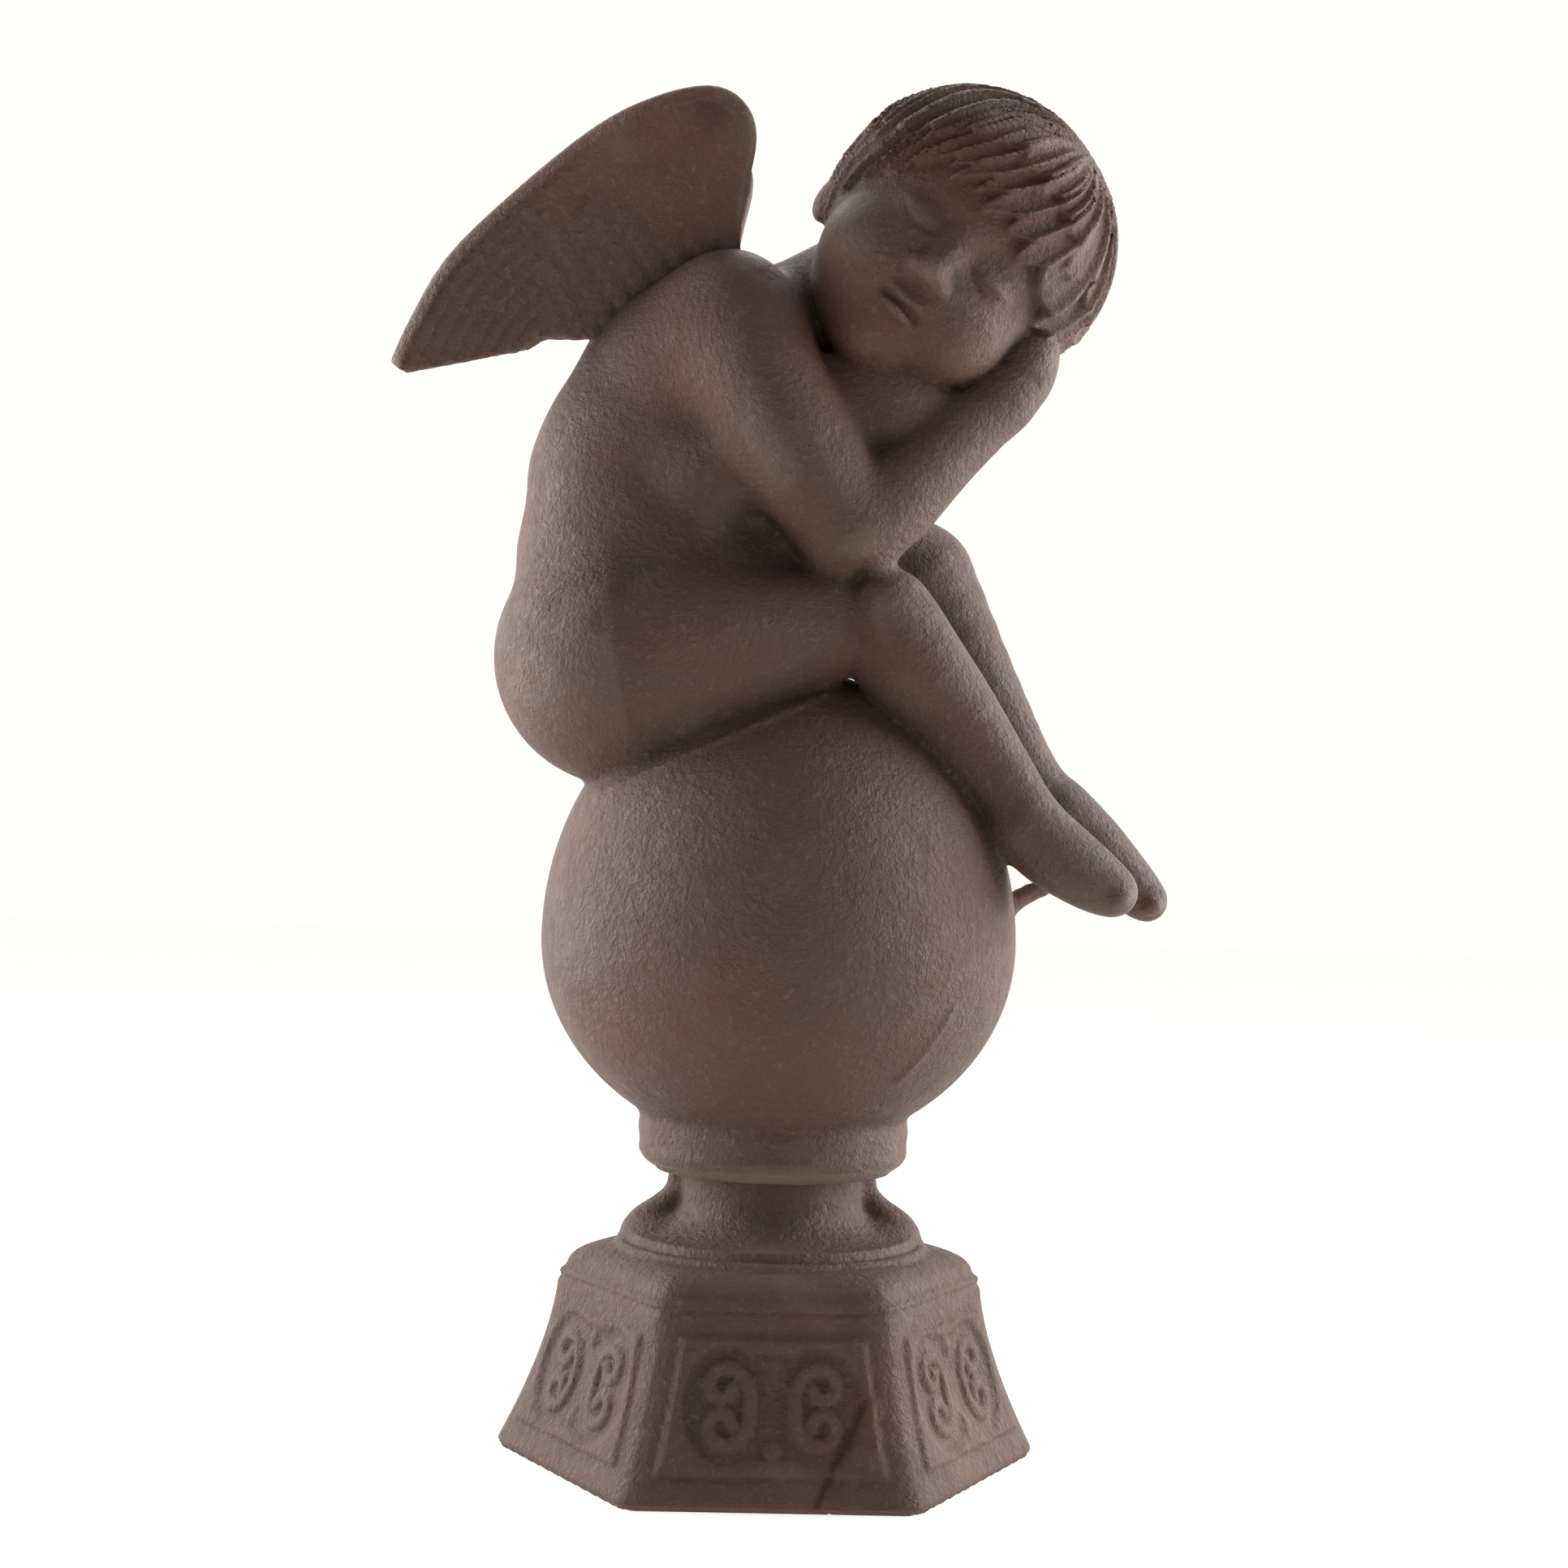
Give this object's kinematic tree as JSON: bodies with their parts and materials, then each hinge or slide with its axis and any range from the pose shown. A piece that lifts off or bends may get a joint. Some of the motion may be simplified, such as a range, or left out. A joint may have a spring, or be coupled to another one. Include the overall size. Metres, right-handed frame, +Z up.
{
  "type": "cast iron cherub sculpture",
  "caption": "Seated winged child of cast iron on a ball, its tilted head resting on its hands, bolted to a flared six-sided foot with scroll panels.",
  "frame": {"origin": "centre of the foot's underside", "axes": "+Z up; +X the way the child's body faces; -Y the side its face looks to"},
  "size_m": [0.1949, 0.114, 0.3306],
  "materials": {
    "iron": "rough brown patina with rust"
  },
  "bodies": {
    "root": {"cherub_on_ball": "iron", "pedestal": "iron"}
  },
  "joints": []
}
